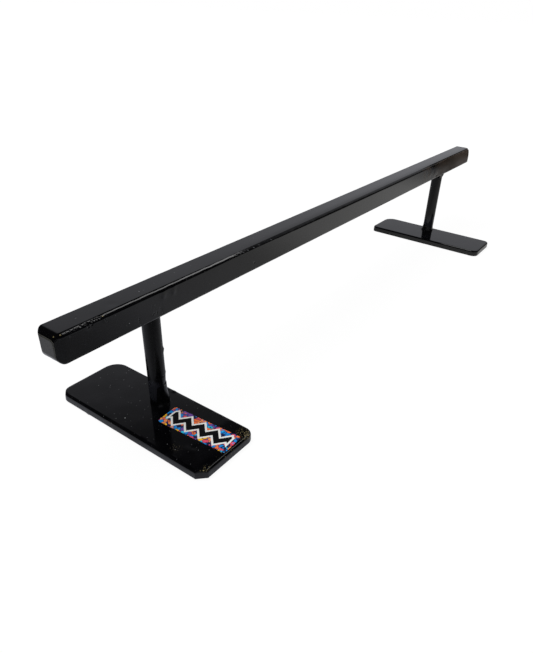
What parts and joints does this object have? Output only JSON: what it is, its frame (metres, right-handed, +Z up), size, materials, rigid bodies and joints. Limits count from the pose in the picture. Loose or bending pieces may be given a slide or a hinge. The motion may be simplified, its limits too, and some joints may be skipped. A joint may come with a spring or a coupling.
{
  "type": "miniature grind rail",
  "caption": "Welded square-bar grind rail for finger-size boards: a solid bar on round posts over flat base plates, in gloss black enamel.",
  "frame": {"origin": "on the floor, under the middle of the part's outer box", "axes": "+X along the bar from its front end to its rear end, +Y to the left as seen from the front end, +Z up"},
  "size_m": [0.3238, 0.075, 0.0492],
  "materials": {
    "enamel": "gloss black enamel, hand sprayed, with runs and dust nibs",
    "label_film": "thin printed vinyl under a clear film"
  },
  "bodies": {
    "root": {"rail_bar": "enamel", "front_post": "enamel", "rear_post": "enamel", "front_base_plate": "enamel", "rear_base_plate": "enamel", "front_post_top_weld": "enamel", "front_post_base_weld": "enamel", "rear_post_top_weld": "enamel", "rear_post_base_weld": "enamel", "label": "label_film"}
  },
  "joints": []
}
